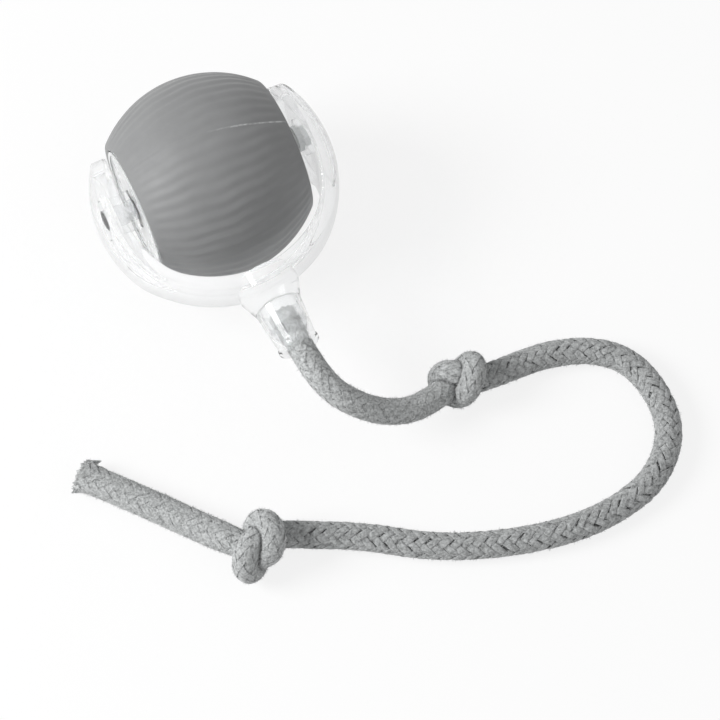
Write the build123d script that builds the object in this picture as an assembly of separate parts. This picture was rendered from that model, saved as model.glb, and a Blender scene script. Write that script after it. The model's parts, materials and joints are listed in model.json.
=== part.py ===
from build123d import *
import math
import os

# Rolling dog ball with a rope tail. Millimetres, +Z up.
# The origin is the point on the floor below the ball's centre.
# The ball's axle lies along X, and the rope leaves the yoke towards -Y.

# Driving dimensions
ball_diameter = 60.0
sleeve_length_share = 0.8
rim_drop_share = 0.1625
yoke_gap = 2.2
yoke_wall = 4.2
ear_radius = 16.9
collar_length = 13.8
rope_diameter = 8.0

# Fits and cuts
snug_gap = 0.03
running_gap = 0.05
free_gap = 0.3
touch_tolerance = 0.01
overrun = 2.0

# Tread sleeve, a silicone barrel with an inward lip at each end
sleeve_wall = 2.0
lip_thickness = 1.9
lip_height = 2.05
rim_round = 0.9

# Shells, two clear cups with a rubber ring between them
shell_wall = 1.8
gasket_thickness = 0.8
spigot_wall = 1.2
spigot_reach = 2.5
spigot_root = 2.0
end_plate_rise = 1.6
end_plate_rim_height = 0.35
end_plate_rim_width = 1.2
post_ring_y = 13.5
post_ring_z = 5.5
post_radius = 2.8
post_neck_radius = 2.4
post_bore_radius = 1.1

# Shell screws and their plugs
screw_radius = 1.0
screw_head_radius = 1.9
screw_head_height = 1.6
screw_pocket_radius = 2.1
screw_pocket_wall = 1.2
screw_length = 24.0
plug_gap = 0.5
plug_reach = 1.4

# Hubs in the two ends
flange_radius = 5.5
flange_thickness = 1.45
pivot_boss_radius = 5.0
drive_boss_radius = 6.0
pivot_bush_radius = 3.5
pivot_bush_length = 5.6
pivot_radius = 1.5
pivot_reach = 5.0
pivot_head_radius = 2.9
pivot_head_length = 4.8
pivot_head_setback = 2.2
washer_radius = 3.4
washer_thickness = 0.5
washer_gap = 0.2
drive_bush_radius = 4.5
drive_bush_length = 4.0
drive_hub_radius = 3.35
drive_hub_inset = 0.45
drive_hub_rise = 0.7
drive_neck_radius = 2.6
drive_flange_radius = 4.0
drive_flange_thickness = 1.4
drive_key_side = 4.4
drive_key_length = 2.6
socket_gap = 0.1

# Output shaft
shaft_radius = 1.5
shaft_flat_depth = 0.5
shaft_inset = 0.2
shaft_grip = 8.9

# Yoke
yoke_shift = 3.9
band_half_height = 6.4
taper_end = 27.0
taper_lean_share = 0.62
boss_radius = 5.8
right_boss_length = 2.8
boss_sink = 1.0
taper_corner_round = 12.0
outer_edge_round = 1.1
inner_edge_round = 0.8
ear_pocket_radius = 13.0
ear_pocket_depth = 1.7

# Neck and collar
neck_base_radius = 9.1
neck_sink = 0.6
neck_base_height = 1.0
neck_taper_length = 5.5
neck_top_radius = 7.05
neck_spigot_radius = 5.4
neck_spigot_gap = 0.4
thread_height = 0.25
thread_width = 0.5
thread_pitch = 1.8
thread_count = 3
seam_gap = 0.1
collar_seam_radius = 7.0
collar_end_radius = 5.85
collar_rim_radius = 6.2
collar_rim_width = 1.1
collar_rim_flare = 0.6
collar_bore_radius = 5.75
collar_mouth_length = 3.0
collet_length = 4.0
collar_edge_round = 0.3
rope_hole_gap = 0.3
collet_clearance = 0.1
collet_slots = 3
collet_slot_width = 0.8

# Rope
rope_lead_diameter = 7.6
rope_tail_diameter = 8.6
rope_start = 49.5
rope_end_gap = 0.1
bend_share = 0.45
knot_core_share = 0.78

# Knots: two slanted wraps, then bulges as (radius, reach, turn in degrees, rise)
near_knot_major = 4.1
near_knot_minor = 3.8
near_wrap_offset = 2.8
near_wrap_tilt = 25.0
near_bulges = [(4.2, 4.5, 133, 1.1)]
far_knot_major = 4.4
far_knot_minor = 3.9
far_wrap_offset = 3.0
far_wrap_tilt = 34.0
far_bulges = [(4.3, 4.4, 33, 0.3), (4.2, 4.4, -148, -0.2)]

# Gear train
gear_module = 0.5
wheel_teeth = 36
pinion_teeth = 12
wheel_width = 2.0
small_gear_extra = 0.7
gear_gap = 0.5
plane_gap = 0.4
addendum_share = 0.8
dedendum_share = 1.05
tooth_share = 0.42
tip_share = 0.24
root_share = 0.64
idler_pin_radius = 0.75
idler_hub_radius = 1.7

# Gearbox plates
plate_start = 1.5
plate_thickness = 2.0
plate_core_half_width = 7.0
plate_top = 16.0
plate_bottom = 19.0
plate_arm_half_width = 16.6
plate_arm_half_height = 8.4
plate_corner_radius = 21.0
gearbox_post_y = 5.0
gearbox_post_z = 16.5
gearbox_post_radius = 1.8
gearbox_screw_radius = 0.8
gearbox_screw_head_radius = 1.4
gearbox_screw_head_height = 1.0
gearbox_screw_length = 6.0
board_pad_radius = 3.5
board_pad_height = 1.4

# Battery and its shelf
battery_half_width = 10.8
battery_start = -18.5
battery_end = -0.7
battery_thickness = 7.6
battery_corner_round = 1.2
battery_pad_thickness = 0.4
shelf_bottom = 5.4
shelf_thickness = 1.2
shelf_lip_half_width = 6.0
shelf_lip_height = 3.0
shelf_lip_thickness = 1.0
lead_radius = 0.5
battery_lead_inset = 0.6
battery_lead_rise = 4.5

# Motor
motor_radius = 6.0
motor_half_height = 5.0
motor_can_length = 14.5
motor_can_wall = 0.6
motor_front_wall = 1.5
motor_cap_length = 1.8
motor_shaft_radius = 0.75
motor_shaft_back = 0.8
motor_boss_gap = 0.3
armature_radius = 3.8
armature_length = 8.0
magnet_inner_radius = 4.2
magnet_half_height = 3.0
magnet_length = 9.0
motor_screw_radius = 0.7
motor_screw_head_radius = 1.1
motor_screw_head_height = 0.9
motor_screw_spread = 4.5
motor_screw_length = 2.2
motor_lead_spread = 2.8
motor_lead_setback = 0.8
motor_lead_bend = 1.6

# Circuit board and what is on it
board_thickness = 1.2
board_radius = 18.2
board_hole_radius = 3.7
chip_side = 5.0
chip_height = 1.0
chip_y = -9.5
chip_z = -11.0
led_length = 3.5
led_width = 2.8
led_height = 1.9
led_y = 9.5
led_z = 10.5
sensor_radius = 1.2
sensor_length = 6.0
sensor_y = 9.5
sensor_z = -11.0
port_z = -12.5
usb_half_width = 4.47
usb_half_height = 1.63
usb_wall = 0.3
usb_setback = 0.25
usb_back_wall = 0.5
tongue_half_width = 3.3
tongue_half_height = 0.35
tongue_setback = 1.4

# Port cover
port_slot_gap = 0.3
cover_half_width = 6.0
cover_length = 5.6
cover_thickness = 1.0
cover_seat_gap = 0.15
cover_plug_half_width = 3.8
cover_plug_half_height = 0.85
cover_plug_length = 1.0
knuckle_half_width = 3.5
anchor_length = 1.6
anchor_gap = 0.1

# Power button and its switch
button_z = 12.5
button_radius = 2.8
button_flange_radius = 3.6
button_flange_thickness = 0.5
button_rise = 0.8
button_flange_gap = 0.2
button_hole_gap = 0.3
switch_side = 4.5
switch_height = 1.3
plunger_radius = 1.0
plunger_sink = 0.7
switch_floor = 0.1

# Rope route, floor heights included, chosen by hand along the rope's centre
lead_route = [
    (0, -rope_start, 30),
    (0, -62.3, 30),
    (2.2, -74.9, 27),
    (8.2, -81.1, 22.1),
    (15.2, -84.6, 16.6),
    (25.4, -86.3, 11.9),
    (35.3, -83.2, 9),
]
near_knot_centre = (39.9, -82.4, 8.4)
loop_route = [
    (46.8, -84.1, 7),
    (57.1, -84, 5),
    (68.4, -84.6, 4.3),
    (80.8, -88.9, 4.1),
    (89.2, -97.1, 4.1),
    (91.7, -109.4, 4.1),
    (89.2, -122.6, 4.1),
    (78.6, -132.6, 4.1),
    (65, -136.2, 4.1),
    (48.7, -136, 4.1),
    (29.8, -131.1, 4.1),
    (11.4, -123.2, 4.1),
    (-5, -111.2, 4.3),
    (-18.2, -104.6, 5.2),
    (-26.6, -100.8, 7),
]
far_knot_centre = (-33, -101.5, 8.2)
tail_route = [
    (-38.4, -97.9, 7.3),
    (-44.4, -89.8, 5.2),
    (-52.2, -79.4, 4.4),
    (-60.8, -68.8, 4.4),
    (-69.1, -58.8, 4.4),
]

# Places along a barrel's side, as shares of its half length
barrel_shares = (-1, -0.75, -0.5, -0.25, 0, 0.25, 0.5, 0.75, 1)
# Places along an edge at which it is measured
edge_shares = (0.1, 0.5, 0.9)

# Sizes that follow from the ones above
ball_radius = ball_diameter / 2
yoke_inner_radius = ball_radius + yoke_gap
yoke_outer_radius = yoke_inner_radius + yoke_wall
sleeve_half = ball_radius * sleeve_length_share
sleeve_rim_drop = ball_diameter * rim_drop_share
opening_radius = ball_radius - sleeve_rim_drop - lip_height
tread_arc = (sleeve_half ** 2 + sleeve_rim_drop ** 2) / (2 * sleeve_rim_drop)
arc_centre = ball_radius - tread_arc
shell_radius = ball_radius - sleeve_wall - snug_gap
shell_inner_radius = shell_radius - shell_wall
shell_half = sleeve_half - lip_thickness - snug_gap
shell_inner_half = shell_half - shell_wall
gasket_half = gasket_thickness / 2
shaft_diameter = 2 * shaft_radius
gear_distance = gear_module * (wheel_teeth + pinion_teeth) / 2
tooth_half_turn = 180 / pinion_teeth
motor_place = (0, -gear_distance)
idler_place = (0, gear_distance)
centre_place = (0, 0)
plate_end = plate_start + plate_thickness
first_start = plate_end + gear_gap
first_end = first_start + wheel_width
second_start = first_end + gear_gap
second_end = second_start + wheel_width
output_start = second_end + small_gear_extra
output_end = output_start + wheel_width + small_gear_extra
cover_start = output_end + gear_gap
cover_end = cover_start + plate_thickness
board_start = cover_end + board_pad_height
board_end = board_start + board_thickness
post_places = [(y, z) for y in (-post_ring_y, post_ring_y) for z in (-post_ring_z, post_ring_z)]
gearbox_post_places = [(-gearbox_post_y, -gearbox_post_z), (gearbox_post_y, -gearbox_post_z)]
screw_seat = shell_half - screw_pocket_wall - screw_head_height - plug_reach - plug_gap
flange_face = shell_half + flange_thickness
left_boss_end = flange_face + washer_thickness + 2 * washer_gap
right_boss_end = yoke_inner_radius - right_boss_length
drive_flange_end = right_boss_end - socket_gap
drive_flange_start = drive_flange_end - drive_flange_thickness
drive_hub_start = shell_half - drive_bush_length - drive_hub_inset
shaft_start = plate_start + shaft_inset
shaft_end = drive_hub_start + shaft_grip
shelf_top = shelf_bottom + shelf_thickness
battery_bottom = shelf_top + battery_pad_thickness
battery_top = battery_bottom + battery_thickness
motor_front = plate_start
motor_back = motor_front - motor_can_length
motor_cap_back = motor_back - motor_cap_length
cover_low_x = shell_half + cover_seat_gap
cover_hinge_x = cover_low_x + cover_thickness / 2
cover_hinge_z = port_z + cover_length / 2 + snug_gap
flange_back_x = shell_inner_half - button_flange_gap
button_back_x = flange_back_x - button_flange_thickness
neck_root = yoke_shift + yoke_inner_radius + neck_sink
neck_base_end = yoke_shift + yoke_outer_radius + neck_base_height
neck_end = neck_base_end + neck_taper_length
collar_end_reach = neck_end + seam_gap + collar_length
collar_cone_end = collar_end_reach - collar_mouth_length
collar_cone_start = collar_cone_end - collet_length
neck_spigot_end = collar_cone_start - neck_spigot_gap
rope_lead_radius = rope_lead_diameter / 2
rope_hole_radius = rope_lead_radius + rope_hole_gap


def rod(radius, start, end, place=(0, 0)):
    """Cylinder along X."""
    y, z = place
    flat = Align.CENTER, Align.CENTER, Align.MIN
    return Pos(start, y, z) * Rot(0, 90, 0) * Cylinder(radius, end - start, align=flat)


def tube(outer, inner, start, end, place=(0, 0)):
    """Pipe along X."""
    return rod(outer, start, end, place) - rod(inner, start - overrun, end + overrun, place)


def block(x, y, z):
    """Box between two corners, given as three (low, high) pairs."""
    spans = (x, y, z)
    middle = [(low + high) / 2 for low, high in spans]
    sides = [high - low for low, high in spans]
    return Pos(*middle) * Box(*sides)


def barrel(mid_radius, half_length):
    """Barrel on the axle whose side is concentric with the tread's arc."""
    arc = mid_radius - arc_centre
    side = []
    for share in barrel_shares:
        x = share * half_length
        side.append((x, arc_centre + math.sqrt(arc ** 2 - x ** 2)))
    rise = side[-1][1] - arc_centre
    curve = Spline(*side, tangents=[(rise, half_length), (rise, -half_length)])
    rest = Polyline(side[-1], (half_length, 0), (-half_length, 0), side[0])
    return revolve(make_face(curve + rest), Axis.X)


def turned_along_y(points):
    """Solid turned about the neck's axis from (radius, reach towards -Y) points."""
    outline = [(radius, -reach) for radius, reach in points]
    return revolve(make_face(Polyline(*outline, close=True)), Axis.Y)


def gear(teeth, start, end, place, turn, bore):
    """Straight-flanked spur gear along X, its first tooth at turn degrees from +Y."""
    pitch_radius = gear_module * teeth / 2
    tooth_pitch = math.pi * gear_module
    tip_radius = pitch_radius + gear_module * addendum_share
    root_radius = pitch_radius - gear_module * dedendum_share
    corners = [
        (root_radius, -root_share),
        (pitch_radius, -tooth_share),
        (tip_radius, -tip_share),
        (tip_radius, tip_share),
        (pitch_radius, tooth_share),
        (root_radius, root_share),
    ]
    points = []
    for index in range(teeth):
        middle = math.radians(turn + 360 * index / teeth)
        for radius, share in corners:
            angle = middle + share * tooth_pitch / 2 / radius
            points.append((radius * math.cos(angle), radius * math.sin(angle)))
    y, z = place
    face_plane = Plane(origin=(start, y, z), x_dir=(0, 1, 0), z_dir=(1, 0, 0))
    wheel = extrude(face_plane * make_face(Polyline(*points, close=True)), amount=end - start)
    return wheel - rod(bore, start - overrun, end + overrun, place)


def tread_sleeve():
    inner_half = sleeve_half - lip_thickness
    body = barrel(ball_radius, sleeve_half)
    body = fillet(body.edges().filter_by(GeomType.CIRCLE), rim_round)
    body -= barrel(ball_radius - sleeve_wall, inner_half)
    return body - rod(opening_radius, -sleeve_half - overrun, sleeve_half + overrun)


def cup(side):
    """One shell half, open at the middle; side is -1 for left and 1 for right."""
    body = barrel(shell_radius, shell_half) - barrel(shell_inner_radius, shell_inner_half)
    reach = sorted((side * gasket_half, side * (shell_half + overrun)))
    wide = (-ball_diameter, ball_diameter)
    return body & block(reach, wide, wide)


def left_shell():
    shell = cup(-1)
    shell += end_plate()
    shell += rod(pivot_boss_radius, -shell_inner_half - snug_gap, -shell_half + pivot_bush_length)
    for place in post_places:
        shell += rod(post_neck_radius, -shell_half + shell_wall / 2, plate_start, place)
    shell -= rod(pivot_bush_radius + snug_gap, -shell_half - overrun, 0)
    for place in post_places:
        pilot = screw_seat - screw_length - overrun
        shell -= rod(screw_radius + snug_gap, pilot, plate_start + overrun, place)
    return shell


def end_plate():
    """Raised disc that fills the sleeve's left opening, with a rim round its edge."""
    radius = opening_radius - free_gap
    low = -shell_half - end_plate_rise
    rim = tube(radius, radius - end_plate_rim_width, low - end_plate_rim_height, -shell_inner_half)
    return rim + tube(radius, flange_radius + free_gap, low, -shell_inner_half)


def right_shell():
    shell = cup(1)
    spigot_radius = spigot_outer_radius()
    spigot_inner = spigot_radius - spigot_wall
    shell += tube(spigot_radius, spigot_inner, -spigot_reach, spigot_root)
    shell += tube(shell_inner_radius + snug_gap, spigot_inner, gasket_half, spigot_root)
    shell += rod(drive_boss_radius, shell_half - drive_bush_length, shell_inner_half + snug_gap)
    for place in post_places:
        shell += rod(post_radius, board_end, shell_half - shell_wall / 2, place)
        shell += rod(post_neck_radius, cover_end, board_end, place)
    shell -= rod(drive_bush_radius + snug_gap, 0, shell_half + overrun)
    for place in post_places:
        shell -= rod(post_bore_radius, cover_end - overrun, screw_seat + overrun, place)
        shell -= rod(screw_pocket_radius, screw_seat, shell_half + overrun, place)
    shell -= rod(button_radius + button_hole_gap, 0, shell_half + overrun, (0, button_z))
    slot_y = usb_half_width + port_slot_gap
    slot_z = usb_half_height + port_slot_gap
    slot = (port_z - slot_z, port_z + slot_z)
    shell -= block((board_end, shell_half + overrun), (-slot_y, slot_y), slot)
    return shell


def spigot_outer_radius():
    """Radius that slides into the left cup's mouth as far as the spigot reaches."""
    arc = shell_inner_radius - arc_centre
    return arc_centre + math.sqrt(arc ** 2 - spigot_reach ** 2) - running_gap


def shell_gasket():
    return tube(shell_radius, spigot_outer_radius() + snug_gap, -gasket_half, gasket_half)


def shell_screws():
    group = []
    for place in post_places:
        head = rod(screw_head_radius, screw_seat, screw_seat + screw_head_height, place)
        group.append(head + rod(screw_radius, screw_seat - screw_length, screw_seat, place))
    return Compound(group)


def screw_plugs():
    low = shell_half - plug_reach
    radius = screw_pocket_radius - snug_gap
    return Compound([rod(radius, low, shell_half, place) for place in post_places])


def flanged_bush(side, barrel_radius, barrel_length, bore):
    """Black ring seated in an end plate; side is -1 for left and 1 for right."""
    inner, seat, outer = (side * x for x in (shell_half - barrel_length, shell_half, flange_face))
    bush = rod(flange_radius, *sorted((seat, outer))) + rod(barrel_radius, *sorted((inner, seat)))
    return bush - rod(bore, -sleeve_half - overrun, sleeve_half + overrun)


def pivot_pin():
    head_start = -left_boss_end - pivot_head_setback - pivot_head_length
    head_end = -left_boss_end - pivot_head_setback
    nose_end = -shell_half + pivot_reach
    return rod(pivot_head_radius, head_start, head_end) + rod(pivot_radius, head_end, nose_end)


def pivot_washer():
    start = -left_boss_end + washer_gap
    return tube(washer_radius, pivot_radius + running_gap, start, start + washer_thickness)


def shaft_section(extra, start, end):
    """Round shaft with one flat, grown by extra for the hole that takes it."""
    body = rod(shaft_radius + extra, start, end)
    flat = shaft_radius - shaft_flat_depth + extra
    return body & block((start, end), (-shaft_diameter, shaft_diameter), (-shaft_diameter, flat))


def output_shaft():
    plain = rod(shaft_radius, shaft_start, drive_hub_start)
    return plain + shaft_section(0, drive_hub_start, shaft_end)


def drive_hub():
    """Stud that joins the output shaft to the right ear by a square key."""
    side = drive_key_side / 2
    body = rod(drive_hub_radius, drive_hub_start, flange_face + drive_hub_rise)
    body += rod(drive_neck_radius, drive_hub_start, drive_flange_end)
    body += rod(drive_flange_radius, drive_flange_start, drive_flange_end)
    key_end = drive_flange_end + drive_key_length
    body += block((drive_flange_end, key_end), (-side, side), (-side, side))
    return body - shaft_section(snug_gap, drive_hub_start - overrun, shaft_end + snug_gap)


def output_gear():
    bore = shaft_radius + snug_gap
    return gear(wheel_teeth, output_start + plane_gap, output_end, centre_place, 0, bore)


def compound_gear(start, end, small_end, place, bore):
    wheel = gear(wheel_teeth, start, end, place, 0, bore)
    return wheel + gear(pinion_teeth, end, small_end, place, tooth_half_turn, bore)


def first_reduction_gear():
    bore = shaft_radius + running_gap
    return compound_gear(first_start, first_end, output_start, centre_place, bore)


def second_reduction_gear():
    bore = idler_pin_radius + running_gap
    wheel = compound_gear(second_start, second_end, output_end, idler_place, bore)
    return wheel + tube(idler_hub_radius, bore, first_start, second_start, idler_place)


def motor_pinion():
    bore = motor_shaft_radius + snug_gap
    return gear(pinion_teeth, first_start, first_end, motor_place, tooth_half_turn, bore)


def plate_outline(start, end):
    """A gearbox plate: a tall core crossed by two arms that reach the posts."""
    core_y = (-plate_core_half_width, plate_core_half_width)
    arm_y = (-plate_arm_half_width, plate_arm_half_width)
    core = block((start, end), core_y, (-plate_bottom, plate_top))
    arms = block((start, end), arm_y, (-plate_arm_half_height, plate_arm_half_height))
    return (core + arms) & rod(plate_corner_radius, start, end)


def gearbox_frame():
    frame = plate_outline(plate_start, plate_end)
    for place in post_places:
        frame += rod(post_neck_radius, plate_end, cover_start, place)
    for place in gearbox_post_places:
        frame += rod(gearbox_post_radius, plate_end, cover_start, place)
    frame += battery_shelf()
    for place in post_places:
        frame -= rod(post_bore_radius, plate_start - overrun, cover_start + overrun, place)
    for place in gearbox_post_places:
        low = cover_start - gearbox_screw_length
        frame -= rod(gearbox_screw_radius + snug_gap, low, cover_start + overrun, place)
    frame -= rod(shaft_radius + running_gap, plate_start - overrun, plate_end + overrun)
    frame -= rod(idler_pin_radius + snug_gap, plate_start, plate_end + overrun, idler_place)
    hole = motor_shaft_radius + motor_boss_gap
    frame -= rod(hole, plate_start - overrun, plate_end + overrun, motor_place)
    for place in motor_screw_places():
        pocket = motor_screw_head_radius + running_gap
        seat = plate_end - motor_screw_head_height
        frame -= rod(pocket, seat, plate_end + overrun, place)
        frame -= rod(motor_screw_radius + running_gap, plate_start - overrun, seat, place)
    return frame


def battery_shelf():
    lip_start = battery_start - shelf_lip_thickness - snug_gap
    wide = (-battery_half_width, battery_half_width)
    lip_wide = (-shelf_lip_half_width, shelf_lip_half_width)
    shelf = block((lip_start, plate_start), wide, (shelf_bottom, shelf_top))
    tall = (shelf_bottom, shelf_top + shelf_lip_height)
    shelf += block((lip_start, battery_start - snug_gap), lip_wide, tall)
    return shelf & barrel(shell_inner_radius - free_gap, shell_inner_half - free_gap)


def gearbox_cover():
    cover = plate_outline(cover_start, cover_end)
    for place in post_places:
        cover += rod(board_pad_radius, cover_end, board_start, place)
        cover -= rod(post_bore_radius, cover_start - overrun, cover_end, place)
        cover -= rod(post_neck_radius + snug_gap, cover_end, board_start + overrun, place)
    for place in gearbox_post_places:
        seat = cover_end - gearbox_screw_head_height
        cover -= rod(gearbox_screw_radius + running_gap, cover_start - overrun, seat, place)
        cover -= rod(gearbox_screw_head_radius + running_gap, seat, cover_end + overrun, place)
    cover -= rod(shaft_radius + running_gap, cover_start - overrun, cover_end + overrun)
    cover -= rod(idler_pin_radius + snug_gap, cover_start - overrun, cover_end, idler_place)
    return cover


def gearbox_screws():
    group = []
    seat = cover_end - gearbox_screw_head_height
    shank_start = cover_start - gearbox_screw_length
    for place in gearbox_post_places:
        head = rod(gearbox_screw_head_radius, seat, cover_end, place)
        group.append(head + rod(gearbox_screw_radius, shank_start, seat, place))
    return Compound(group)


def idler_pin():
    return rod(idler_pin_radius, plate_start, cover_end, idler_place)


def motor_screw_places():
    y, z = motor_place
    return [(y - motor_screw_spread, z), (y + motor_screw_spread, z)]


def motor_screws():
    group = []
    seat = plate_end - motor_screw_head_height
    for place in motor_screw_places():
        head = rod(motor_screw_head_radius, seat, plate_end, place)
        group.append(head + rod(motor_screw_radius, seat - motor_screw_length, seat, place))
    return Compound(group)


def motor_section(radius, half_height, start, end):
    """Round motor body with a flat above and below."""
    y, z = motor_place
    wide = (y - radius, y + radius)
    tall = (z - half_height, z + half_height)
    return rod(radius, start, end, motor_place) & block((start, end), wide, tall)


def motor_can():
    inner_radius = motor_radius - motor_can_wall
    inner_half = motor_half_height - motor_can_wall
    can = motor_section(motor_radius, motor_half_height, motor_back, motor_front)
    can -= motor_section(inner_radius, inner_half, motor_back - overrun, motor_front - motor_front_wall)
    can -= rod(motor_shaft_radius + running_gap, motor_back, motor_front + overrun, motor_place)
    seat = plate_end - motor_screw_head_height
    for place in motor_screw_places():
        can -= rod(motor_screw_radius + snug_gap, seat - motor_screw_length, motor_front, place)
    return can


def motor_end_cap():
    cap = motor_section(motor_radius, motor_half_height, motor_cap_back, motor_back)
    return cap - rod(motor_shaft_radius + running_gap, motor_cap_back - overrun, motor_back, motor_place)


def motor_magnets():
    y, z = motor_place
    outer = motor_radius - motor_can_wall - snug_gap
    start = motor_back + (motor_can_length - motor_front_wall - magnet_length) / 2
    end = start + magnet_length
    ring = tube(outer, magnet_inner_radius, start, end, motor_place)
    wide = (y - motor_radius, y + motor_radius)
    return ring & block((start, end), wide, (z - magnet_half_height, z + magnet_half_height))


def motor_shaft():
    return rod(motor_shaft_radius, motor_cap_back - motor_shaft_back, first_end, motor_place)


def motor_armature():
    start = motor_back + (motor_can_length - motor_front_wall - armature_length) / 2
    bore = motor_shaft_radius + snug_gap
    return tube(armature_radius, bore, start, start + armature_length, motor_place)


def motor_leads():
    """Two wires from the motor's end cap along the gearbox to the board."""
    y, z = motor_place
    group = []
    for side in (-1, 1):
        x = motor_back - motor_lead_setback
        start = (x, y + side * motor_radius, z)
        corner = (x, y + side * (motor_radius + motor_lead_spread), z)
        end = (board_start, y + side * (motor_radius + motor_lead_spread), z)
        path = FilletPolyline(start, corner, end, radius=motor_lead_bend)
        group.append(swept(path, lead_radius))
    return Compound(group)


def battery_lead_places():
    y = battery_half_width - battery_lead_inset
    z = battery_bottom + battery_lead_rise
    return [(-y, z), (y, z)]


def battery_leads():
    return Compound([rod(lead_radius, battery_end, board_start, p) for p in battery_lead_places()])


def battery_cell():
    wide = (-battery_half_width, battery_half_width)
    cell = block((battery_start, battery_end), wide, (battery_bottom, battery_top))
    return fillet(cell.edges().filter_by(Axis.X), battery_corner_round)


def battery_pad():
    half = battery_half_width - battery_corner_round
    return block((battery_start, battery_end), (-half, half), (shelf_top, battery_bottom))


def circuit_board():
    board = rod(board_radius, board_start, board_end) - rod(board_hole_radius, board_start, board_end)
    for place in post_places:
        board -= rod(post_neck_radius + snug_gap, board_start - overrun, board_end + overrun, place)
    return board


def on_board(height, place, width, tall):
    """Block standing on the board's right face, centred on place."""
    flat = Align.MIN, Align.CENTER, Align.CENTER
    return Pos(board_end, *place) * Box(height, width, tall, align=flat)


def control_chip():
    return on_board(chip_height, (chip_y, chip_z), chip_side, chip_side)


def status_leds():
    places = [(-led_y, led_z), (led_y, led_z)]
    return Compound([on_board(led_height, place, led_width, led_length) for place in places])


def vibration_sensor():
    return Pos(board_end + sensor_radius, sensor_y, sensor_z) * Cylinder(sensor_radius, sensor_length)


def rounded_slot(half_width, half_height, start, end):
    """Stadium-shaped bar along X at the charging port."""
    straight = half_width - half_height
    bar = block((start, end), (-straight, straight), (port_z - half_height, port_z + half_height))
    for y in (-straight, straight):
        bar += rod(half_height, start, end, (y, port_z))
    return bar


def usb_socket():
    mouth = shell_half - usb_setback
    floor = board_end + usb_back_wall
    socket = rounded_slot(usb_half_width, usb_half_height, board_end, mouth)
    socket -= rounded_slot(usb_half_width - usb_wall, usb_half_height - usb_wall, floor, mouth + overrun)
    tongue_y = (-tongue_half_width, tongue_half_width)
    tongue_z = (port_z - tongue_half_height, port_z + tongue_half_height)
    return socket + block((floor, mouth - tongue_setback), tongue_y, tongue_z)


def port_cover():
    low_z = cover_hinge_z - cover_length
    lid_x = (cover_low_x, cover_low_x + cover_thickness)
    lid = block(lid_x, (-cover_half_width, cover_half_width), (low_z, cover_hinge_z))
    plug_x = (cover_low_x - cover_plug_length, cover_low_x)
    plug_z = (port_z - cover_plug_half_height, port_z + cover_plug_half_height)
    lid += block(plug_x, (-cover_plug_half_width, cover_plug_half_width), plug_z)
    knuckle = Cylinder(cover_thickness / 2, 2 * knuckle_half_width)
    return lid + Pos(cover_hinge_x, 0, cover_hinge_z) * Rot(90, 0, 0) * knuckle


def port_anchor():
    low_z = cover_hinge_z + cover_thickness / 2 + anchor_gap
    strip_x = (shell_half, cover_low_x + cover_thickness)
    wide = (-knuckle_half_width, knuckle_half_width)
    return block(strip_x, wide, (low_z, low_z + anchor_length))


def power_button():
    place = (0, button_z)
    flange = rod(button_flange_radius, button_back_x, flange_back_x, place)
    return flange + rod(button_radius, flange_back_x, shell_half + button_rise, place)


def tact_switch():
    switch = on_board(switch_height, (0, button_z), switch_side, switch_side)
    pocket_radius = plunger_radius + running_gap
    pocket = rod(pocket_radius, board_end + switch_floor, button_back_x, (0, button_z))
    return switch - pocket


def switch_plunger():
    start = board_end + switch_height - plunger_sink
    return rod(plunger_radius, start, button_back_x, (0, button_z))


def ear_and_band_outline():
    """The yoke seen along the axle: a round ear tapering into the band."""
    ear = Circle(ear_radius)
    lean = ear_radius * taper_lean_share
    rise = math.sqrt(ear_radius ** 2 - lean ** 2)
    taper = make_face(
        Polyline(
            (-lean, rise),
            (-lean, -rise),
            (-taper_end, -band_half_height),
            (-taper_end, band_half_height),
            close=True,
        )
    )
    reach = yoke_outer_radius + yoke_shift + overrun
    band = Pos(-reach / 2, 0) * Rectangle(reach, 2 * band_half_height)
    outline = ear + taper + band
    corners = []
    for corner in outline.vertices():
        if min(abs(corner.X + taper_end), abs(corner.X + lean)) < touch_tolerance:
            corners.append(corner)
    return fillet(corners, taper_corner_round)


def edges_on_sphere(body, radius):
    """Edges that lie on a sphere about the yoke's centre."""
    centre = Vector(0, -yoke_shift, 0)
    found = []
    for edge in body.edges():
        points = [edge.position_at(share) for share in edge_shares]
        if all(abs((point - centre).length - radius) < touch_tolerance for point in points):
            found.append(edge)
    return found


def yoke_arch():
    """The two ears and the band between them, with every rim rounded."""
    side_plane = Plane(origin=(0, 0, 0), x_dir=(0, 1, 0), z_dir=(1, 0, 0))
    outline = side_plane * ear_and_band_outline()
    mask = extrude(outline, amount=yoke_outer_radius + overrun, both=True)
    centre = Pos(0, -yoke_shift, 0)
    arch = (centre * Sphere(yoke_outer_radius)) & mask
    arch -= centre * Sphere(yoke_inner_radius)
    arch = fillet(edges_on_sphere(arch, yoke_outer_radius), outer_edge_round)
    arch = fillet(edges_on_sphere(arch, yoke_inner_radius), inner_edge_round)
    pocket_floor = yoke_inner_radius - ear_pocket_depth
    return arch - rod(ear_pocket_radius, -pocket_floor, pocket_floor)


def yoke():
    body = yoke_arch()
    body += rod(boss_radius, -yoke_inner_radius - boss_sink, -left_boss_end)
    body += rod(boss_radius, right_boss_end, yoke_inner_radius + boss_sink)
    body += neck()
    head_start = -left_boss_end - pivot_head_setback - pivot_head_length
    body -= rod(pivot_head_radius + snug_gap, head_start, -left_boss_end + overrun)
    side = drive_key_side / 2 + socket_gap
    socket_end = drive_flange_end + drive_key_length + socket_gap
    body -= block((right_boss_end - overrun, socket_end), (-side, side), (-side, side))
    return body


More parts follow.
